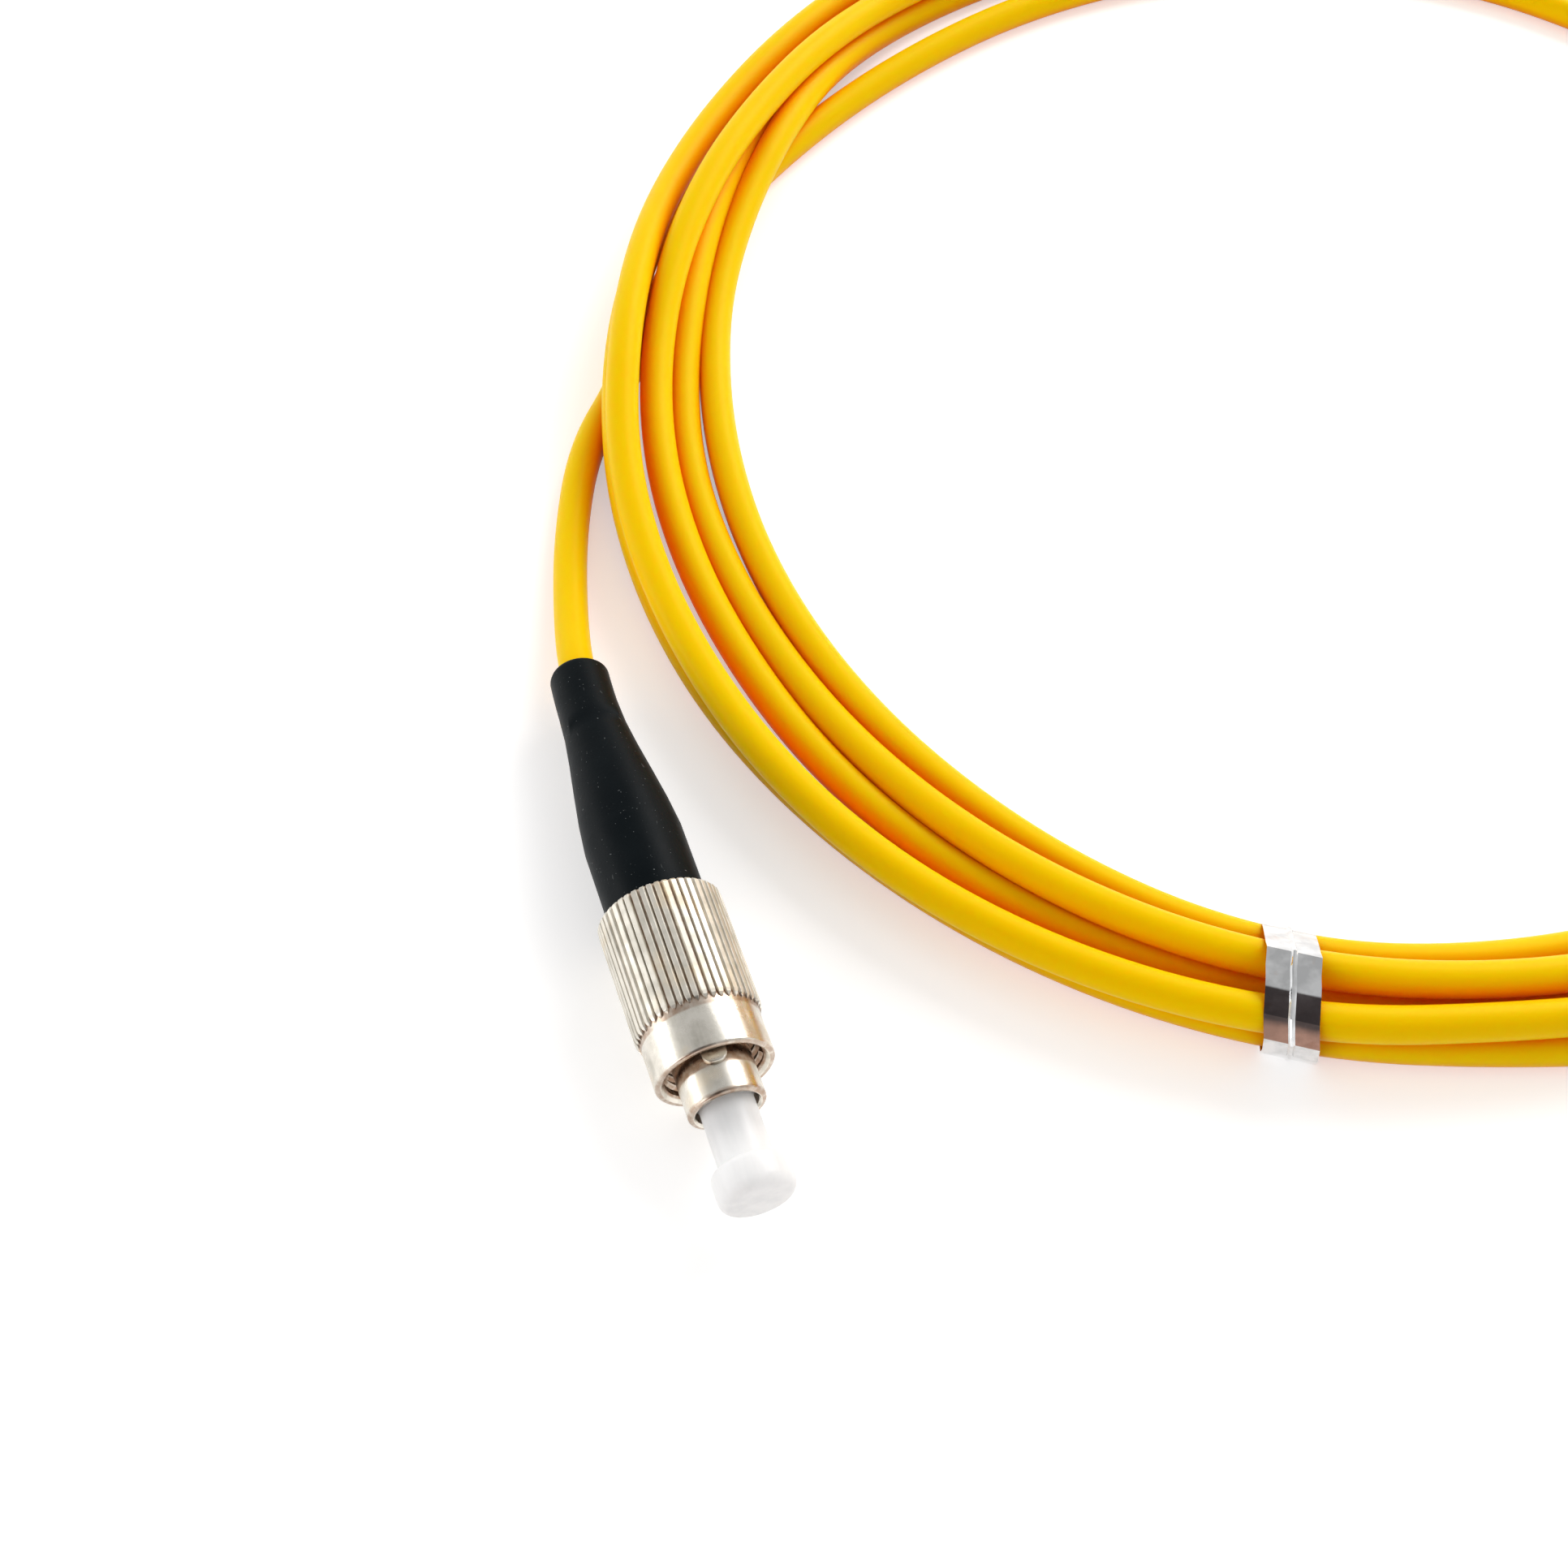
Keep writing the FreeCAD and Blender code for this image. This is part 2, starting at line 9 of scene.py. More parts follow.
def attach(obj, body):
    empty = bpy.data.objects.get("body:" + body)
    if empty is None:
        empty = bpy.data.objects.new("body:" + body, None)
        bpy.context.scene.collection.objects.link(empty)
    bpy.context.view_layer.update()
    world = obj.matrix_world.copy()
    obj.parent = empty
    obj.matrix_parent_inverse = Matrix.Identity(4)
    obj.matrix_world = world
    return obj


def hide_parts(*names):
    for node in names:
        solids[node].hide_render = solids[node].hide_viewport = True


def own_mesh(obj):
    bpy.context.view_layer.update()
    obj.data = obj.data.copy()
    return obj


mm = 0.001
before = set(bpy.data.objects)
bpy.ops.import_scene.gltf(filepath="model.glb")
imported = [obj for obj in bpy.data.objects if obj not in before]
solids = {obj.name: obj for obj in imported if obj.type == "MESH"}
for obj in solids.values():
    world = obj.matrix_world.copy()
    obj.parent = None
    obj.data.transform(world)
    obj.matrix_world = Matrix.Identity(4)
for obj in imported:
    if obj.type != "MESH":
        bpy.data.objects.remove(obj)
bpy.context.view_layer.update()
scene = bpy.context.scene
scene.view_settings.view_transform = "Standard"
print("frame loaded with", len(solids), "solids")


# Camera, floor and lights

photoView = {
    "place": (-99.0, -122.4, 153.8),  # millimetres
    "looking": (0.1777, 0.5302, -0.8290),
    "lens": 51.1,
    "sensor": 36.0,
    "near": 0.005,  # metres
    "far": 20,
}


def setCamera():
    data = bpy.data.cameras.new("photoCamera")
    data.lens = photoView["lens"]
    data.sensor_width = photoView["sensor"]
    data.clip_start = photoView["near"]
    data.clip_end = photoView["far"]
    camera = bpy.data.objects.new("photoCamera", data)
    camera.location = Vector(photoView["place"]) * mm
    camera.rotation_mode = "QUATERNION"
    camera.rotation_quaternion = Vector(photoView["looking"]).to_track_quat("-Z", "Y")
    scene.collection.objects.link(camera)
    scene.camera = camera


# Shader nodes written as sums and products

class Tone:
    def __init__(self, paint, socket):
        self.paint = paint
        self.socket = socket

    def maths(self, operation, first, second):
        return self.paint.node("ShaderNodeMath", {"operation": operation}, {0: first, 1: second})

    def __add__(self, other):
        return self.maths("ADD", self, other)

    def __radd__(self, other):
        return self.maths("ADD", other, self)

    def __sub__(self, other):
        return self.maths("SUBTRACT", self, other)

    def __rsub__(self, other):
        return self.maths("SUBTRACT", other, self)

    def __mul__(self, other):
        return self.maths("MULTIPLY", self, other)

    def __rmul__(self, other):
        return self.maths("MULTIPLY", other, self)


class Paint:
    # node() takes a node's type, its settings and its inputs, and gives back one output
    def __init__(self, tree):
        self.tree = tree

    def feed(self, socket, value):
        if isinstance(value, Tone):
            self.tree.links.new(value.socket, socket)
        elif isinstance(value, tuple) and socket.type == "RGBA":
            socket.default_value = (*value, 1)
        else:
            socket.default_value = value

    def node(self, kind, settings=None, inputs=None, output=0):
        made = self.tree.nodes.new(kind)
        for name, value in (settings or {}).items():
            if name == "stops":
                self.setStops(made.color_ramp, value)
            else:
                setattr(made, name, value)
        for name, value in (inputs or {}).items():
            self.feed(made.inputs[name], value)
        return Tone(self, made.outputs[output])

    def setStops(self, ramp, stops):
        while len(ramp.elements) < len(stops):
            ramp.elements.new(0.5)
        for element, (place, grey) in zip(ramp.elements, stops):
            element.position = place
            element.color = (grey, grey, grey, 1)

    def coordinates(self, scale=(1, 1, 1), centre=(0, 0, 0)):
        here = self.node("ShaderNodeTexCoord", output="Object")
        away = tuple(-part * stretch * mm for part, stretch in zip(centre, scale))
        return self.node("ShaderNodeMapping", None, {"Vector": here, "Scale": scale, "Location": away})

    def noise(self, scale, detail=2, stretch=(1, 1, 1)):
        place = self.coordinates(stretch)
        return self.node("ShaderNodeTexNoise", None,
                         {"Vector": place, "Scale": scale, "Detail": detail})

    def fromAxis(self, centre):
        # Station along a plug and distance from its axis, both in metres
        place = self.coordinates(centre=centre)
        station = self.node("ShaderNodeSeparateXYZ", None, {0: place}, "Y")
        flat = self.node("ShaderNodeVectorMath", {"operation": "MULTIPLY"}, {0: place, 1: (1, 0, 1)})
        return station, self.node("ShaderNodeVectorMath", {"operation": "LENGTH"}, {0: flat}, "Value")

    def window(self, value, low, high, soft):
        # 1 between low and high, fading out over soft, all in millimetres
        start = self.node("ShaderNodeMapRange", None, {
            "Value": value, "From Min": (low - soft) * mm, "From Max": low * mm})
        end = self.node("ShaderNodeMapRange", None, {
            "Value": value, "From Min": (high + soft) * mm, "From Max": high * mm})
        return start * end

    def ramp(self, value, *stops):
        return self.node("ShaderNodeValToRGB", {"stops": stops}, {0: value})

    def blend(self, share, first, second):
        return self.node("ShaderNodeMix", {"data_type": "RGBA"}, {0: share, 6: first, 7: second}, 2)

    def bump(self, height, depth, strength=1.0):
        depthInMetres = depth * mm
        return self.node("ShaderNodeBump", None,
                         {"Height": height, "Distance": depthInMetres, "Strength": strength})


def newFinish(name, fixed):
    # A material whose unchanging values sit on its own shader
    material = bpy.data.materials.new(name)
    material.use_nodes = True
    paint = Paint(material.node_tree)
    shader = material.node_tree.nodes["Principled BSDF"]
    for socket, value in fixed.items():
        paint.feed(shader.inputs[socket], value)
    return material, paint, shader


def setVarying(paint, shader, values):
    for socket, value in values.items():
        paint.feed(shader.inputs[socket], value)


def grainFinish(name, look):
    # Two tones mixed by one fine grain
    material, paint, shader = newFinish(name, {"Metallic": look.get("metal", 0.0)})
    grain = paint.noise(look["grain"], detail=3, stretch=look.get("stretch", (1, 1, 1)))
    setVarying(paint, shader, {
        "Base Color": paint.blend(grain, look["dark"], look["light"]),
        "Roughness": grain * look.get("spread", 0.16) + look["rough"],
        "Normal": paint.bump(grain, depth=look.get("bump", 0.012)),
    })
    return material


floorLook = {
    "size": 8.0,  # metres
    "colour": (0.86, 0.855, 0.85),
    "lift": 0.46,  # light that only the camera and reflections see, so that the sheet is white
}


def layFloor():
    sheet = bmesh.new()
    bmesh.ops.create_grid(sheet, x_segments=1, y_segments=1, size=floorLook["size"] / 2)
    mesh = bpy.data.meshes.new("paperSheet")
    sheet.to_mesh(mesh)
    sheet.free()
    floor = bpy.data.objects.new("paperSheet", mesh)
    scene.collection.objects.link(floor)
    material, paint, shader = newFinish("whitePaper", {
        "Base Color": floorLook["colour"],
        "Roughness": 0.9,
        "Specular IOR Level": 0.1,
        "Emission Strength": 1.0,
    })
    camera = paint.node("ShaderNodeLightPath", output="Is Camera Ray")
    glossy = paint.node("ShaderNodeLightPath", output="Is Glossy Ray")
    through = paint.node("ShaderNodeLightPath", output="Is Transmission Ray")
    lift = floorLook["lift"]
    glow = paint.blend(camera + glossy + through, (0.0, 0.0, 0.0), (lift, lift, lift))
    setVarying(paint, shader, {"Emission Color": glow})
    floor.data.materials.append(material)


lampAim = (-0.05, -0.02, 0.0)  # in metres, like the lamps' places and sizes
softboxes = {
    "highRight": {"place": (0.465, 0.317, 0.461), "size": 0.44, "power": 3.5},
    "lowLeft": {"place": (-0.78, 0.32, 0.16), "size": 0.30, "power": 1.0},
    "left": {"place": (-0.75, -0.32, 0.24), "size": 0.50, "power": 0.9},
}
# The room is paler at its foot, and the plating and the foil mirror the shapes in it
room = {"low": 1.25, "high": 0.56, "highFrom": 0.75}
roomShapes = {
    "overhead": {"toward": (-0.26, -0.42, 0.87), "wide": 24, "edge": 28, "tone": (0.05, 0.04, 0.04)},
    "darkFront": {"toward": (-0.42, -0.72, 0.55), "wide": 17, "edge": 24, "tone": (0.11, 0.085, 0.08)},
    "brownFront": {"toward": (-0.50, -0.84, 0.12), "wide": 13, "edge": 20, "tone": (0.50, 0.29, 0.22)},
    "warmSide": {"toward": (0.87, 0.45, 0.12), "wide": 17, "edge": 24, "tone": (0.62, 0.38, 0.17)},
}


def setLights():
    for name, box in softboxes.items():
        lamp = bpy.data.lights.new(name, "AREA")
        lamp.shape = "SQUARE"
        lamp.size = box["size"]
        lamp.energy = box["power"]
        holder = bpy.data.objects.new(name, lamp)
        holder.location = box["place"]
        aim = Vector(lampAim) - Vector(box["place"])
        holder.rotation_euler = aim.to_track_quat("-Z", "Y").to_euler()
        scene.collection.objects.link(holder)
    world = bpy.data.worlds.new("studioRoom")
    world.use_nodes = True
    scene.world = world
    paint = Paint(world.node_tree)
    direction = paint.node("ShaderNodeTexCoord", output="Generated")
    height = paint.node("ShaderNodeSeparateXYZ", None, {0: direction}, 2)
    shade = paint.ramp(height, (0.0, room["low"]), (room["highFrom"], room["high"]))
    for seen in roomShapes.values():
        facing = paint.node("ShaderNodeVectorMath", {"operation": "DOT_PRODUCT"},
                            {0: direction, 1: Vector(seen["toward"]).normalized()}, "Value")
        edge = math.cos(math.radians(seen["edge"]))
        core = math.cos(math.radians(seen["wide"]))
        shade = paint.blend(paint.ramp(facing, (edge, 0.0), (core, 1.0)), shade, seen["tone"])
    background = world.node_tree.nodes["Background"]
    paint.feed(background.inputs["Color"], shade)


setCamera()
layFloor()
setLights()
print("camera, floor and lights set")


# Cable: one smooth line from plug A, round the coil and out to plug B

cable = {
    "diameter": 3.0,
    "pointsPerTurn": 36,
    "stepsPerPoint": 8,
    "stepsRound": 6,
    "pale": (1.0, 0.65, 0.0),
    "deep": (0.98, 0.60, 0.0),
    # the last colour is painted shade: a deep orange for where strands and floor hem the jacket in
    "paintedCreviceShade": (1.0, 0.30, 0.0),
    "plugBMirror": (1.3, 14.3),  # plug B is plug A mirrored and shifted by these
    "lead": [
        (-80.15, -28.8, 5.0),
        (-80.15, -20.5, 5.0),
        (-79.9, -10.7, 3.9),
        (-78.5, -3.0, 2.2),
        (-75.9, 6.6, 1.5),
        (-71.9, 16.1, 1.5),
    ],
    # where the cable is on its way in: angle in degrees, distance from the centre, height
    "wayIn": [
        (161, 69.8, 1.5),
        (147, 67.4, 1.5),
        (140, 65.7, 1.5),
        (130, 64.0, 1.5),
        (120, 63.1, 1.5),
        (110, 62.8, 1.5),
        (57, 64.3, 1.5),
        (46, 62.9, 1.5),
        (12, 59.8, 1.5),
        (-33, 57.5, 1.5),
        (-80, 59.3, 1.5),
        (-105, 61.1, 1.5),
    ],
    # then pass after pass, in the order in which the cable meets the angles
    "passes": {
        237: [(62.7, 1.8), (65.7, 4.7), (66.4, 1.8), (70.5, 4.9), (69.9, 1.8)],
        210: [(61.2, 1.5), (64.5, 2.8), (67.1, 1.5), (71.7, 4.35), (70.4, 1.5)],
        190: [(60.7, 1.5), (63.7, 1.5), (66.7, 2.0), (71.0, 4.6), (70.8, 1.5)],
        170: [(60.9, 1.5), (64.3, 1.5), (66.9, 3.3), (70.2, 5.7), (70.6, 2.7)],
        158: [(61.6, 1.6), (64.4, 2.4), (66.7, 4.8), (69.3, 7.7), (70.1, 4.9)],
        147: [(62.7, 2.4), (64.9, 4.4), (66.2, 7.2), (69.7, 6.3), (70.2, 3.3)],
        138: [(63.2, 3.8), (66.0, 4.5), (65.9, 7.5), (70.5, 4.7), (71.0, 1.7)],
        130: [(64.2, 4.6), (67.2, 3.8), (66.3, 7.0), (71.0, 4.6), (72.0, 1.7)],
        120: [(66.7, 3.2), (69.8, 2.4), (67.5, 6.1), (71.9, 4.6), (73.4, 1.6)],
        110: [(68.6, 1.5), (71.7, 1.5), (69.1, 4.5), (73.2, 4.2), (74.8, 1.5)],
        57: [(68.6, 1.5), (71.7, 1.5), (70.1, 4.2), (73.2, 4.2), (74.8, 1.5)],
        12: [(64.8, 1.5), (68.4, 1.5), (69.9, 4.2), (73.4, 3.0)],
        -33: [(61.6, 1.5), (65.7, 1.5), (69.8, 1.5), (73.9, 1.5)],
        -80: [(62.6, 2.6), (65.9, 1.5), (68.9, 3.0), (72.0, 1.5)],
        -105: [(64.5, 4.4), (65.4, 1.5), (68.0, 4.5), (69.0, 1.5)],
    },
    "wayOut": [(40, 75.9, 1.5), (28, 77.6, 1.5)],
}


def plugBMirrored(point):
    x, y, z = point
    shiftX, shiftY = cable["plugBMirror"]
    return (shiftX - x, y + shiftY, z)


def coilStations():
    # All stations as the cable runs, each a full turn further on than the pass before
    stations = list(cable["wayIn"])
    turns = max(len(lanes) for lanes in cable["passes"].values())
    for passNumber in range(turns):
        for angle, lanes in cable["passes"].items():
            if passNumber < len(lanes):
                radius, height = lanes[passNumber]
                stations.append((angle - 360 * (passNumber + 1), radius, height))
    for angle, radius, height in cable["wayOut"]:
        stations.append((angle - 360 * turns, radius, height))
    return stations


def between(stations, angle):
    # Distance and height at an angle, on a smooth line through the stations
    index = 0
    while index < len(stations) - 2 and stations[index + 1][0] > angle:
        index += 1
    start = stations[index]
    end = stations[index + 1]
    before = stations[max(index - 1, 0)]
    after = stations[min(index + 2, len(stations) - 1)]
    span = end[0] - start[0]
    share = (angle - start[0]) / span
    found = []
    for part in (1, 2):
        leaving = (end[part] - before[part]) / (end[0] - before[0]) * span
        arriving = (after[part] - start[part]) / (after[0] - start[0]) * span
        rise = start[part] - end[part]
        value = (2 * rise + leaving + arriving) * share ** 3
        value -= (3 * rise + 2 * leaving + arriving) * share ** 2
        found.append(value + leaving * share + start[part])
    return found


def cableRoute():
    # The leads' points, and between them the coil's, evenly spaced round each turn
    stations = coilStations()
    step = 360 / cable["pointsPerTurn"]
    outward = 1 / math.cos(math.radians(step / 2))  # the line runs inside its points
    route = list(cable["lead"])
    steps = int((stations[0][0] - stations[-1][0]) / step)
    for number in range(steps + 1):
        angle = stations[0][0] - number * step
        radius, height = between(stations, angle)
        turn = math.radians(angle)
        reach = radius * outward
        height = max(height, cable["diameter"] / 2)
        route.append((reach * math.cos(turn), reach * math.sin(turn), height))
    route.extend(plugBMirrored(point) for point in reversed(cable["lead"]))
    return route


def makeLine(name, route):
    data = bpy.data.curves.new(name, "CURVE")
    data.dimensions = "3D"
    data.resolution_u = cable["stepsPerPoint"]
    line = data.splines.new("NURBS")
    line.points.add(len(route) - 1)
    for point, place in zip(line.points, route):
        point.co = (*(Vector(place) * mm), 1)
    line.order_u = 3
    line.use_endpoint_u = True
    made = bpy.data.objects.new(name, data)
    scene.collection.objects.link(made)
    return made


def lineLength(made):
    mesh = bpy.data.meshes.new_from_object(made)
    points = [vertex.co.copy() for vertex in mesh.vertices]
    bpy.data.meshes.remove(mesh)
    length = sum((after - before).length for before, after in zip(points, points[1:]))
    return points, length


def jacketFinish():
    material, paint, shader = newFinish("yellowJacket", {
        "Specular IOR Level": 0.12,
        "Specular Tint": (1.0, 0.75, 0.08),
        "Subsurface Weight": 0.6,
        "Subsurface Radius": (1.6, 0.4, 0.02),
        "Subsurface Scale": 1.4 * mm,
    })
    patches = paint.noise(60, detail=3)
    grain = paint.noise(2600, detail=3)
    openness = paint.node("ShaderNodeAmbientOcclusion", {"samples": 6},
                          {"Distance": cable["diameter"] * mm}, "AO")
    colour = paint.blend(patches, cable["deep"], cable["pale"])
    # Painted shade: where ambient occlusion finds the jacket hemmed in by strands or floor, its colour
    # turns deep orange
    colour = paint.blend(paint.ramp(openness, (0.28, 1.0), (0.95, 0.0)), colour, cable["paintedCreviceShade"])
    setVarying(paint, shader, {
        "Base Color": colour,
        "Roughness": grain * 0.16 + 0.34,
        "Normal": paint.bump(grain, depth=0.02, strength=0.4),
    })
    return material


cableRun = makeLine("cableRun", cableRoute())
cablePoints, cableLength = lineLength(cableRun)
cableRun.data.bevel_depth = cable["diameter"] / 2 * mm
cableRun.data.bevel_resolution = cable["stepsRound"]
cableRun.data.use_fill_caps = True
cableRun.data.materials.append(jacketFinish())
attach(cableRun, "cord")
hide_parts("cord_lead_a", "cord_coil", "cord_lead_b")


# Turned pieces: a few corners spun about the plug's axis, stations counted from the barrel's face

plugs = {"a": (-80.15, -53.3, 5.0), "b": (81.45, -39.0, 5.0)}
mergeDistance = 1e-7  # metres
rimTolerance = 0.001  # millimetres
creaseAngle = 35  # degrees


def turned(outline, steps):
    mesh = bmesh.new()
    corners = [mesh.verts.new((radius * mm, station * mm, 0)) for station, radius in outline]
    for first, second in zip(corners, corners[1:]):
        mesh.edges.new((first, second))
    if outline[0][1] > 0:
        mesh.edges.new((corners[-1], corners[0]))
    shape = mesh.verts[:] + mesh.edges[:]
    bmesh.ops.spin(mesh, geom=shape, axis=(0, 1, 0), angle=math.tau, steps=steps, use_merge=True)
    bmesh.ops.remove_doubles(mesh, verts=mesh.verts, dist=mergeDistance)
    bmesh.ops.recalc_face_normals(mesh, faces=mesh.faces)
    return mesh


def onRim(edge, station, radius):
    for vertex in edge.verts:
        place = vertex.co / mm
        off = max(abs(place.y - station), abs(math.hypot(place.x, place.z) - radius))
        if off > rimTolerance:
            return False
    return True


def bevelEdges(mesh, edges, size, segments):
    return bmesh.ops.bevel(mesh, geom=edges, offset=size * mm, segments=segments, profile=0.5,
                           affect="EDGES", material=-1)


def roundRims(mesh, rims):
    # rims: how far and in how many steps each is rounded, its station and its radius
    for size, segments, station, radius in rims:
        edges = [edge for edge in mesh.edges if onRim(edge, station, radius)]
        bevelEdges(mesh, edges, size, segments)


def finishPiece(mesh, name, material, body, node, place=(0, 0, 0), creases=creaseAngle):
    # Moves the shape to its place, smooths what isn't an edge, fixes it to its body and hides the part
    # it stands for
    bmesh.ops.translate(mesh, verts=mesh.verts, vec=Vector(place) * mm)
    data = bpy.data.meshes.new(name)
    mesh.to_mesh(data)
    mesh.free()
    data.shade_smooth()
    data.set_sharp_from_angle(angle=math.radians(creases))
    data.materials.append(material)
    piece = bpy.data.objects.new(name, data)
    scene.collection.objects.link(piece)
    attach(piece, body)
    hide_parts(node)
    return piece


def easeEdges(piece, width):
    bevel = piece.modifiers.new("easedEdges", "BEVEL")
    bevel.width = width * mm
    bevel.segments = 2
    bevel.limit_method = "ANGLE"
    bevel.angle_limit = math.radians(creaseAngle)


# Plated pieces

nickelLook = {
    "bright": (0.84, 0.80, 0.72),
    "dull": (0.58, 0.55, 0.48),
    # painted shade: a brown for hollows, grooves and where one part covers another
    "paintedShade": (0.36, 0.22, 0.14),
    "gold": (0.80, 0.66, 0.46),
    "knurl": (7.3, 17.6),  # stations between which the nut is knurled
}


def nickelFinish(name, plug, paintedShadeWindows):
    # Windows of station and radius that get painted shade, a mottled brown, in hollows, grooves and
    # under the nut
    material, paint, shader = newFinish(name, {"Metallic": 1.0})
    station, radius = paint.fromAxis(plugs[plug])
    cloud = paint.noise(700, detail=4)
    streak = paint.noise(1400, detail=2, stretch=(1, 0.05, 1))
    mottle = paint.ramp(cloud, (0.35, 0.0), (0.68, 1.0))
    colour = paint.blend(mottle, nickelLook["bright"], nickelLook["dull"])
    colour = paint.blend(paint.ramp(streak, (0.45, 0.0), (0.7, 0.7)), colour, nickelLook["bright"])
    satin = paint.window(station, *nickelLook["knurl"], soft=0.2)  # duller than the turned rings
    colour = paint.blend(satin * 0.35, colour, nickelLook["dull"])
    blotch = paint.ramp(paint.noise(260, detail=3), (0.56, 0.0), (0.68, 0.45))
    colour = paint.blend(blotch, colour, nickelLook["gold"])
    shadeMottle = paint.ramp(paint.noise(1900, detail=3), (0.2, 0.25), (0.6, 1.0))
    # Painted shade: each window darkens the plating to brown, broken up by noise
    for low, high, inner, outer, strength in paintedShadeWindows:
        here = paint.window(station, low, high, soft=0.15)
        here = here * paint.window(radius, inner, outer, soft=0.08)
        colour = paint.blend(here * shadeMottle * strength, colour, nickelLook["paintedShade"])
    setVarying(paint, shader, {
        "Base Color": colour,
        "Roughness": mottle * 0.10 + streak * 0.10 + satin * 0.26 + 0.19,
        "Normal": paint.bump(paint.noise(2400, detail=3), depth=0.012, strength=0.5),
    })
    return material


nut = {
    "outline": [
        (3.03, 4.25), (3.03, 4.7), (6.7, 4.7), (6.95, 4.72), (17.4, 4.72), (17.7, 4.55),
        (17.7, 4.2), (12.4, 4.2), (12.4, 3.15), (11.3, 3.15), (11.3, 4.0), (10.3, 4.0),
        (10.3, 3.88), (3.5, 3.88),
    ],
    "stepsRound": 96,
    "rims": [(0.28, 4, 3.03, 4.7), (0.12, 2, 3.03, 4.25)],
    "eased": 0.03,
    "ridges": 48,
    "seed": 7,
    "foot": 0.60,  # a ridge's width where it stands on the nut
    "land": 0.40,  # and across its top
    "landShare": (0.8, 1.15),  # how much of that each ridge may have
    "drift": 0.012,  # sideways, from row to row
    "lean": 5,  # degrees
    "footRadius": 4.68,
    "landRadius": 5.0,
    # station, share of the width and share of the height, from the pointed tip back
    "rows": [
        (6.86, 0.18, 0.12), (7.02, 0.55, 0.50), (7.22, 0.85, 0.85), (7.5, 1.0, 1.0), (10.6, 1.0, 1.0),
        (14.0, 1.0, 1.0), (17.4, 1.0, 1.0), (17.62, 0.85, 0.45),
    ],
    "thread": {
        "crest": 3.6,
        "root": 3.92,
        "pitch": 0.75,
        "halfFoot": 0.45,  # as a share of the pitch
        "front": 3.95,
        "turns": 8,
        "steps": 40,
    },
    # Painted shade, brown: under the ridges' tips, in the grooves between them, on the front face
    # round the mouth and down the thread
    # front, rear, inner and outer radius, strength
    "paintedShadeWindows": [
        (6.6, 7.35, 4.5, 4.78, 0.75),
        (7.35, 17.8, 4.5, 4.76, 0.75),
        (2.9, 3.35, 4.3, 4.62, 0.7),
        (3.2, 12.0, 3.72, 3.98, 0.95),
        (3.2, 12.0, 3.0, 3.72, 0.35),
    ],
}


def addRidge(mesh, turn, dice):
    # One ridge of the knurl, drawn back row by row from its tip and turned to its place
    foot = nut["foot"] / 2
    land = nut["land"] / 2 * dice.uniform(*nut["landShare"])
    low = nut["footRadius"]
    rise = nut["landRadius"] - low
    section = [(-foot, 0), (-land, rise), (land, rise), (foot, 0)]
    rows = nut["rows"]
    corners = [mesh.verts.new((side * mm, rows[0][0] * mm, (low + up) * mm)) for side, up in section]
    tip = mesh.faces.new(corners)
    root = Matrix.Translation((0, 0, -low * mm))
    bmesh.ops.scale(mesh, vec=(rows[0][1], 1, rows[0][2]), verts=corners, space=root)
    made = list(corners)
    end = tip
    for before, after in zip(rows, rows[1:]):
        grown = bmesh.ops.extrude_face_region(mesh, geom=[end])["geom"]
        fresh = [part for part in grown if isinstance(part, bmesh.types.BMVert)]
        end = next(part for part in grown if isinstance(part, bmesh.types.BMFace))
        spread = after[1] / before[1]
        lift = after[2] / before[2]
        bmesh.ops.scale(mesh, vec=(spread, 1, lift), verts=fresh, space=root)
        drift = dice.uniform(-nut["drift"], nut["drift"])
        bmesh.ops.translate(mesh, verts=fresh, vec=(drift * mm, (after[0] - before[0]) * mm, 0))
        made.extend(fresh)
    lean = Matrix.Rotation(math.radians(dice.uniform(-nut["lean"], nut["lean"])), 3, "Y")
    bmesh.ops.rotate(mesh, verts=made, cent=(0, 0, low * mm), matrix=lean)
    bmesh.ops.rotate(mesh, verts=made, cent=(0, 0, 0), matrix=Matrix.Rotation(turn, 3, "Y"))


def addThread(mesh):
    # A sharp ridge wound round the bore
    thread = nut["thread"]
    half = thread["pitch"] * thread["halfFoot"]
    section = [(-half, thread["root"]), (0, thread["crest"]), (half, thread["root"])]
    corners = [mesh.verts.new((radius * mm, (thread["front"] + along) * mm, 0))
               for along, radius in section]
    face = mesh.faces.new(corners)
    steps = thread["turns"] * thread["steps"]
    bmesh.ops.spin(mesh, geom=[face], axis=(0, 1, 0), angle=math.tau * thread["turns"],
                   steps=steps, dvec=(0, thread["pitch"] * mm / thread["steps"], 0))


def makeNut(end):
    mesh = turned(nut["outline"], nut["stepsRound"])
    roundRims(mesh, nut["rims"])
    addThread(mesh)
    dice = random.Random(nut["seed"])
    for number in range(nut["ridges"]):
        addRidge(mesh, math.tau * number / nut["ridges"], dice)
    bmesh.ops.recalc_face_normals(mesh, faces=mesh.faces)
    finish = nickelFinish("nickelNut_" + end, end, nut["paintedShadeWindows"])
    piece = finishPiece(mesh, "couplingNut_" + end, finish, "nut_" + end, "coupling_nut_" + end,
                        plugs[end])
    easeEdges(piece, nut["eased"])


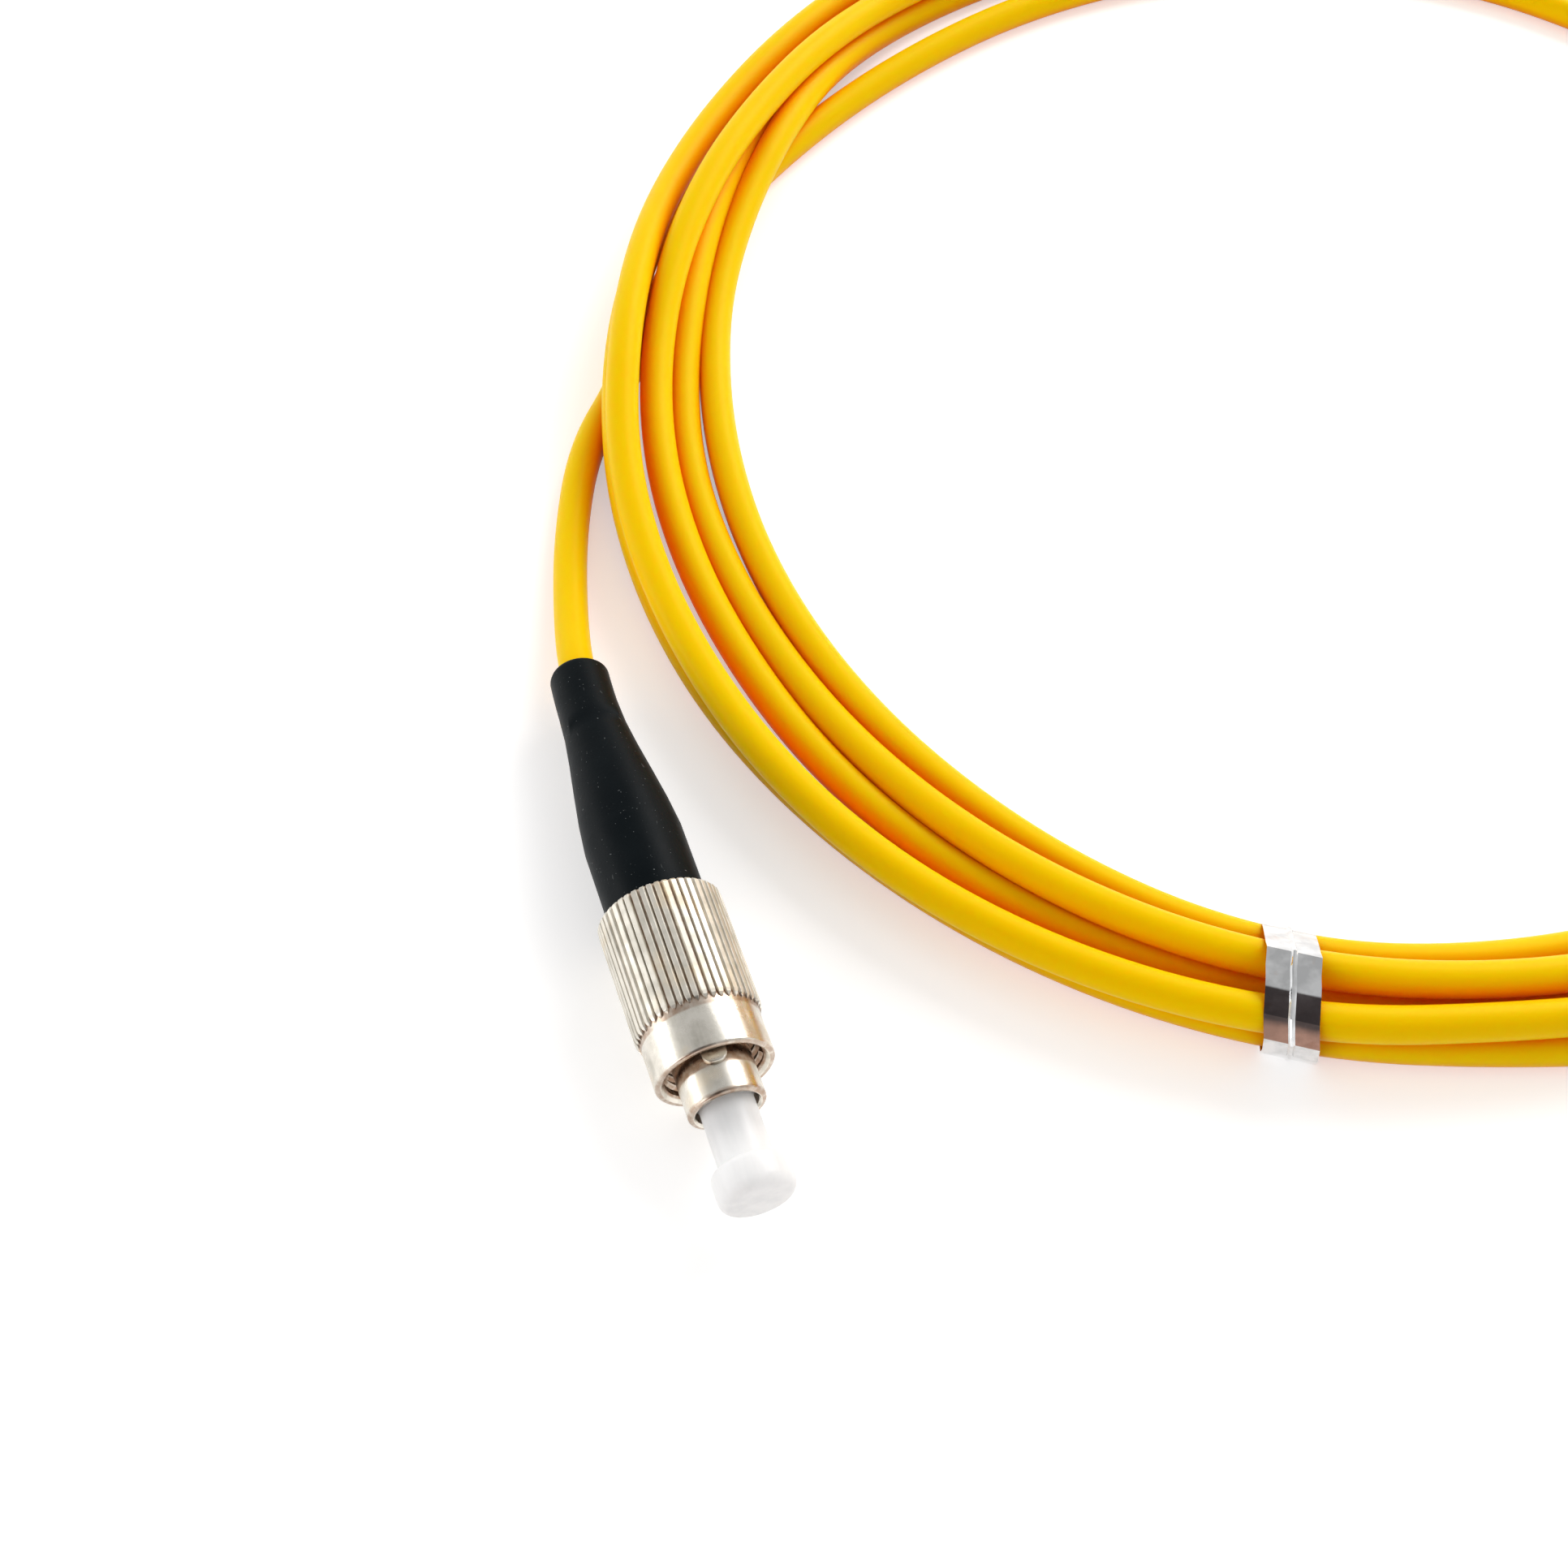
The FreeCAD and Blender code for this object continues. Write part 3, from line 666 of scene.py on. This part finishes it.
barrel = {
    "outline": [
        (0, 2.62), (0, 3.05), (5.3, 3.05), (5.3, 3.45), (6.3, 3.45), (6.3, 3.05), (14.5, 3.05),
        (14.5, 2.2), (8.7, 2.2), (8.7, 1.35), (7.5, 1.35), (7.5, 2.45), (0.2, 2.45),
    ],
    "stepsRound": 96,
    "rims": [(0.3, 4, 0, 3.05), (0.08, 2, 5.3, 3.45), (0.08, 2, 6.3, 3.45)],
    "eased": 0.05,
    "key": {
        "width": 1.9,
        "front": 2.4,
        "rear": 6.0,
        "foot": 2.75,
        "top": 3.45,
        "nose": 0.8,
        "noseSteps": 6,
        "rim": 0.16,
        "rimSteps": 3,
        "rimDepth": 0.05,  # edges this close to the top belong to its rim
    },
    # Painted shade, brown: round the mouth, on the barrel's skin under the nut, and down the bore
    "paintedShadeWindows": [
        (-0.1, 0.32, 2.7, 3.02, 0.8),
        (2.5, 6.4, 3.0, 3.07, 0.85),
        (0.3, 7.6, 1.2, 2.5, 0.6),
    ],
}


def addKey(mesh):
    # The key on top of the barrel: a rounded nose, eased edges, nothing beyond the collar's radius
    key = barrel["key"]
    size = Vector((key["width"], key["rear"] - key["front"], key["top"] - key["foot"]))
    middle = Vector((0, (key["front"] + key["rear"]) / 2, (key["foot"] + key["top"]) / 2))
    stand = Matrix.Translation(middle * mm) @ Matrix.Diagonal((*(size * mm), 1))
    corners = bmesh.ops.create_cube(mesh, size=1, matrix=stand)["verts"]
    upright = [edge for edge in mesh.edges if all(vertex in corners for vertex in edge.verts)
               and abs(edge.verts[0].co.z - edge.verts[1].co.z) > size.z / 2 * mm
               and edge.verts[0].co.y < middle.y * mm]
    rounded = bevelEdges(mesh, upright, key["nose"], key["noseSteps"])
    near = [vertex for vertex in mesh.verts if vertex in corners or vertex in rounded["verts"]]
    above = (key["top"] - key["rimDepth"]) * mm
    rim = [edge for edge in mesh.edges if all(vertex in near for vertex in edge.verts)
           and all(vertex.co.z > above for vertex in edge.verts)]
    eased = bevelEdges(mesh, rim, key["rim"], key["rimSteps"])
    near = [vertex for vertex in near if vertex.is_valid] + eased["verts"]
    top = key["top"] * mm
    for vertex in near:
        if math.hypot(vertex.co.x, vertex.co.z) > top:
            vertex.co.z = math.sqrt(top ** 2 - vertex.co.x ** 2)


def makeBarrel(end):
    mesh = turned(barrel["outline"], barrel["stepsRound"])
    roundRims(mesh, barrel["rims"])
    addKey(mesh)
    finish = nickelFinish("nickelBarrel_" + end, end, barrel["paintedShadeWindows"])
    piece = finishPiece(mesh, "plugBarrel_" + end, finish, "cord", "plug_barrel_" + end,
                        plugs[end])
    easeEdges(piece, barrel["eased"])


# Dust cap

cap = {
    "outline": [
        (-7.6, 0), (-7.6, 3.0), (-4.7, 3.0), (-4.7, 2.14), (0.5, 2.12), (0.95, 2.36), (6.5, 2.30),
        (6.5, 1.3), (-2.2, 1.3), (-2.2, 0),
    ],
    "stepsRound": 72,
    "rims": [(0.9, 6, -7.6, 3.0), (0.55, 4, -4.7, 3.0), (0.15, 2, 6.5, 2.30), (0.15, 2, -4.7, 2.14)],
    "depth": 3.2,  # how far light goes in
    "colour": (0.96, 0.96, 0.95),
    "streak": (0.86, 0.865, 0.865),
}


def makeCap(end):
    mesh = turned(cap["outline"], cap["stepsRound"])
    roundRims(mesh, cap["rims"])
    material, paint, shader = newFinish("milkyPlastic_" + end, {
        "Subsurface Weight": 0.9,
        "Subsurface Radius": (1.0, 1.0, 1.0),
        "Subsurface Scale": cap["depth"] * mm,
        "Specular IOR Level": 0.4,
    })
    streak = paint.noise(900, detail=3, stretch=(1, 0.12, 1))
    cloud = paint.noise(500, detail=3)
    share = paint.ramp(streak, (0.4, 0.0), (0.7, 1.0))
    setVarying(paint, shader, {
        "Base Color": paint.blend(share, cap["colour"], cap["streak"]),
        "Roughness": cloud * 0.25 + 0.25,
        "Normal": paint.bump(streak, depth=0.02, strength=0.6),
    })
    finishPiece(mesh, "dustCap_" + end, material, "cap_" + end, "dust_cap_" + end,
                plugs[end])


# Boot: turned straight, then bent along the cable behind the plug

boot = {
    "outline": [
        (15.6, 2.6), (15.6, 4.0), (24.7, 4.0), (27.3, 3.76), (30.3, 3.36), (33.3, 2.94), (36.0, 2.64),
        (38.6, 2.53), (42.5, 2.5), (42.5, 1.62), (28.0, 1.62), (28.0, 2.0), (24.5, 2.0), (23.1, 2.6),
    ],
    "stepsRound": 72,
    "rims": [(0.3, 4, 42.5, 2.5), (0.12, 2, 42.5, 1.62)],
    "creases": 50,  # degrees
    "jacketStation": 24.5,
    "cuts": range(25, 43),  # stations at which the wall is cut, so that it can bend
    "skin": (0.0016, 0.0036, 0.0050),
    "worn": (0.0046, 0.0076, 0.0092),
    "dust": (0.12, 0.13, 0.13),
}


def alongCable(points, distance):
    for before, after in zip(points, points[1:]):
        run = (after - before).length
        if distance <= run:
            break
        distance -= run
    return before.lerp(after, distance / run), (after - before).normalized()


def bendAlong(mesh, end):
    path = cablePoints if end == "a" else cablePoints[::-1]
    start = boot["jacketStation"] * mm
    foot = Vector(plugs[end]) * mm
    for vertex in mesh.verts:
        beyond = vertex.co.y - start
        if beyond > 0:
            place, heading = alongCable(path, beyond)
            turn = Vector((0, 1, 0)).rotation_difference(heading)
            side = Vector((vertex.co.x, 0, vertex.co.z))
            vertex.co = place + turn @ side - foot


def bootFinish(end):
    material, paint, shader = newFinish("satinRubber_" + end, {"Specular IOR Level": 0.06})
    cloud = paint.noise(420, detail=4)
    specks = paint.ramp(paint.noise(5200, detail=1), (0.74, 0.0), (0.78, 1.0))
    lint = paint.ramp(paint.noise(2100, detail=2, stretch=(1.0, 0.25, 1.0)), (0.73, 0.0), (0.76, 0.35))
    skin = paint.blend(cloud, boot["skin"], boot["worn"])
    dust = paint.blend(specks, skin, boot["dust"])
    setVarying(paint, shader, {
        "Base Color": paint.blend(lint, dust, boot["dust"]),
        "Roughness": cloud * 0.16 + 0.36,
        "Normal": paint.bump(paint.noise(3000, detail=3) + specks * 0.3, depth=0.018, strength=0.6),
    })
    return material


def makeBoot(end):
    mesh = turned(boot["outline"], boot["stepsRound"])
    roundRims(mesh, boot["rims"])
    for station in boot["cuts"]:
        bmesh.ops.bisect_plane(mesh, geom=mesh.verts[:] + mesh.edges[:] + mesh.faces[:],
                               plane_co=(0, station * mm, 0), plane_no=(0, 1, 0))
    bendAlong(mesh, end)
    finishPiece(mesh, "boot_" + end, bootFinish(end), "cord", "boot_" + end, plugs[end],
                creases=boot["creases"])


# Spring behind the ferrule's flange

spring = {
    "front": 10.8,
    "rear": 16.8,
    "radius": 1.45,
    "wire": 0.4,
    "wireSides": 12,
    "turns": 6,
    "steps": 32,
    "travel": 1.0,
    "finish": {"light": (0.50, 0.49, 0.48), "dark": (0.33, 0.32, 0.31), "rough": 0.30, "grain": 3200,
               "metal": 1.0},
}


def makeSpring(end):
    mesh = bmesh.new()
    wire = spring["wire"]
    lying = Matrix.Translation(Vector((spring["radius"], spring["front"] + wire / 2, 0)) * mm)
    bmesh.ops.create_circle(mesh, cap_ends=True, segments=spring["wireSides"], radius=wire / 2 * mm,
                            matrix=lying)
    steps = spring["turns"] * spring["steps"]
    climb = (spring["rear"] - spring["front"] - wire) / steps
    bmesh.ops.spin(mesh, geom=mesh.faces[:], axis=(0, -1, 0), angle=math.tau * spring["turns"],
                   steps=steps, dvec=(0, climb * mm, 0))
    bmesh.ops.recalc_face_normals(mesh, faces=mesh.faces)
    steel = grainFinish("springSteel_" + end, spring["finish"])
    piece = finishPiece(mesh, "spring_" + end + "_wound", steel, "cord", "spring_" + end,
                        plugs[end])
    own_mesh(piece)


for end in plugs:
    makeNut(end)
    makeBarrel(end)
    makeCap(end)
    makeBoot(end)
    makeSpring(end)
print("plugs, caps, boots and springs made")


# Twist tie: a strip closed round the bundle, with its wire in a ridge along the middle

twistTie = {
    "angle": 237,  # where it stands round the coil
    "thickness": 0.1,
    "ridge": 0.20,  # height
    "creases": 25,  # degrees
    "wireRadius": 0.14,
    "wireSteps": 3,
    "bright": (0.82, 0.825, 0.83),
    "dull": (0.62, 0.625, 0.63),
    "rust": (0.55, 0.42, 0.34),
    "wireFinish": {"light": (0.60, 0.59, 0.57), "dark": (0.42, 0.41, 0.40), "rough": 0.25,
                   "spread": 0.2, "grain": 2200, "bump": 0.01, "metal": 1.0},
    # places across the strip, and how much of the ridge's height each has
    "columns": [
        (-2.1, 0.0), (-1.9, 0.0), (-1.1, 0.0), (-0.26, 0.0), (-0.13, 0.75), (0.0, 1.0), (0.13, 0.75),
        (0.26, 0.0), (1.1, 0.0), (1.9, 0.0), (2.1, 0.0),
    ],
    # distance from the coil's centre, height and shift along the bundle, all the way round
    "section": [
        (62.7, 0.16, 0.1), (66.3, 0.14, 0.6), (69.9, 0.14, 1.3), (71.3, 0.45, 1.5), (71.85, 1.3, 1.47),
        (72.5, 2.9, 1.4), (72.55, 4.8, 1.2), (72.1, 5.5, 1.0), (71.3, 6.3, 0.75), (69.4, 6.98, 0.5),
        (68.7, 7.2, 0.4), (67.6, 7.2, 0.25), (66.0, 7.2, 0.15), (65.2, 6.55, 0.05), (64.45, 5.94, 0.0),
        (63.0, 4.57, -0.05), (61.5, 3.05, -0.1), (61.05, 2.2, -0.1), (61.1, 1.2, 0.0),
        (61.7, 0.46, 0.05),
    ],
}


def foilFinish():
    material, paint, shader = newFinish("silverFoil", {"Metallic": 1.0})
    crumple = paint.noise(240, detail=3)
    fine = paint.noise(1500, detail=2)
    smudge = paint.ramp(paint.noise(620, detail=3), (0.38, 0.0), (0.62, 1.0))
    colour = paint.blend(smudge, twistTie["dull"], twistTie["bright"])
    rust = paint.ramp(paint.noise(420, detail=3), (0.62, 0.0), (0.72, 0.5))
    setVarying(paint, shader, {
        "Base Color": paint.blend(rust, colour, twistTie["rust"]),
        "Roughness": fine * 0.08 + 0.03,
        "Normal": paint.bump(crumple + fine * 0.04, depth=0.04, strength=0.5),
    })
    return material


def makeTie():
    mesh = bmesh.new()
    columns = twistTie["columns"]
    loop = [mesh.verts.new((radius * mm, (columns[0][0] + shift) * mm, height * mm))
            for radius, height, shift in twistTie["section"]]
    edges = [mesh.edges.new(pair) for pair in zip(loop, loop[1:] + loop[:1])]
    rows = [list(loop)]
    for before, after in zip(columns, columns[1:]):
        grown = bmesh.ops.extrude_edge_only(mesh, edges=edges)["geom"]
        edges = [part for part in grown if isinstance(part, bmesh.types.BMEdge)]
        fresh = [part for part in grown if isinstance(part, bmesh.types.BMVert)]
        bmesh.ops.translate(mesh, verts=fresh, vec=(0, (after[0] - before[0]) * mm, 0))
        rows.append(fresh)
    bmesh.ops.recalc_face_normals(mesh, faces=mesh.faces)
    mesh.normal_update()
    outwards = {vertex: vertex.normal.copy() for vertex in mesh.verts}
    centre = sum((vertex.co for vertex in loop), Vector()) / len(loop)
    path = []
    for row, (across, share) in zip(rows, columns):
        for vertex in row:
            if across == 0:
                path.append(vertex.co.copy())
            vertex.co += outwards[vertex] * twistTie["ridge"] * share * mm
    path.sort(key=lambda point: math.atan2(point.z - centre.z, point.x - centre.x))
    bmesh.ops.solidify(mesh, geom=mesh.faces[:], thickness=twistTie["thickness"] * mm)
    turn = Matrix.Rotation(math.radians(twistTie["angle"]), 3, "Z")
    bmesh.ops.rotate(mesh, verts=mesh.verts, cent=(0, 0, 0), matrix=turn)
    foil = finishPiece(mesh, "twistTie", foilFinish(), "cord", "twist_tie",
                       creases=twistTie["creases"])
    return foil, [turn @ point for point in path]


def makeTieWire(path):
    data = bpy.data.curves.new("tieWire", "CURVE")
    data.dimensions = "3D"
    line = data.splines.new("POLY")
    line.points.add(len(path) - 1)
    for point, place in zip(line.points, path):
        point.co = (*place, 1)
    line.use_cyclic_u = True
    data.bevel_depth = twistTie["wireRadius"] * mm
    data.bevel_resolution = twistTie["wireSteps"]
    data.materials.append(grainFinish("tieWireSteel", twistTie["wireFinish"]))
    wire = bpy.data.objects.new("tieWire", data)
    scene.collection.objects.link(wire)
    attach(wire, "cord")
    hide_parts("tie_wire")
    return wire


tieFoil, wirePath = makeTie()
tieWire = makeTieWire(wirePath)
print("twist tie made")


# Finishes for the pieces inside the plugs

insideLooks = {
    "ferrule": {"light": (0.88, 0.88, 0.86), "dark": (0.80, 0.80, 0.77), "rough": 0.12,
                "grain": 1600},
    "ferrule_flange": {"light": (0.62, 0.61, 0.59), "dark": (0.45, 0.44, 0.42), "rough": 0.28,
                       "grain": 1900, "metal": 1.0, "stretch": (1, 6, 1)},
    "retaining_ring": {"light": (0.55, 0.53, 0.50), "dark": (0.38, 0.36, 0.34), "rough": 0.35,
                       "grain": 2400, "metal": 1.0},
    "rear_body": {"light": (0.84, 0.81, 0.75), "dark": (0.64, 0.61, 0.56), "rough": 0.24,
                  "grain": 1200, "metal": 1.0, "stretch": (1, 5, 1)},
    "aramid_yarn": {"light": (0.86, 0.66, 0.22), "dark": (0.58, 0.40, 0.10), "rough": 0.70,
                    "grain": 2600, "stretch": (1, 0.06, 1), "bump": 0.08},
    "crimp_sleeve": {"light": (0.72, 0.70, 0.66), "dark": (0.50, 0.48, 0.45), "rough": 0.32,
                     "grain": 1500, "metal": 1.0, "stretch": (1, 0.15, 1)},
    "buffered_fibre": {"light": (0.90, 0.90, 0.88), "dark": (0.82, 0.82, 0.79), "rough": 0.40,
                       "grain": 2000},
    "glass_fibre": {"light": (0.86, 0.90, 0.91), "dark": (0.74, 0.80, 0.82), "rough": 0.05,
                    "grain": 5000},
}


def finishInside(node, look):
    material = grainFinish(node + "Finish", look)
    for end in plugs:
        for place in solids[node + "_" + end].material_slots:
            place.material = material


for node, look in insideLooks.items():
    finishInside(node, look)
print("inside pieces finished")


print("cable laid,", round(cableLength, 3), "m long")
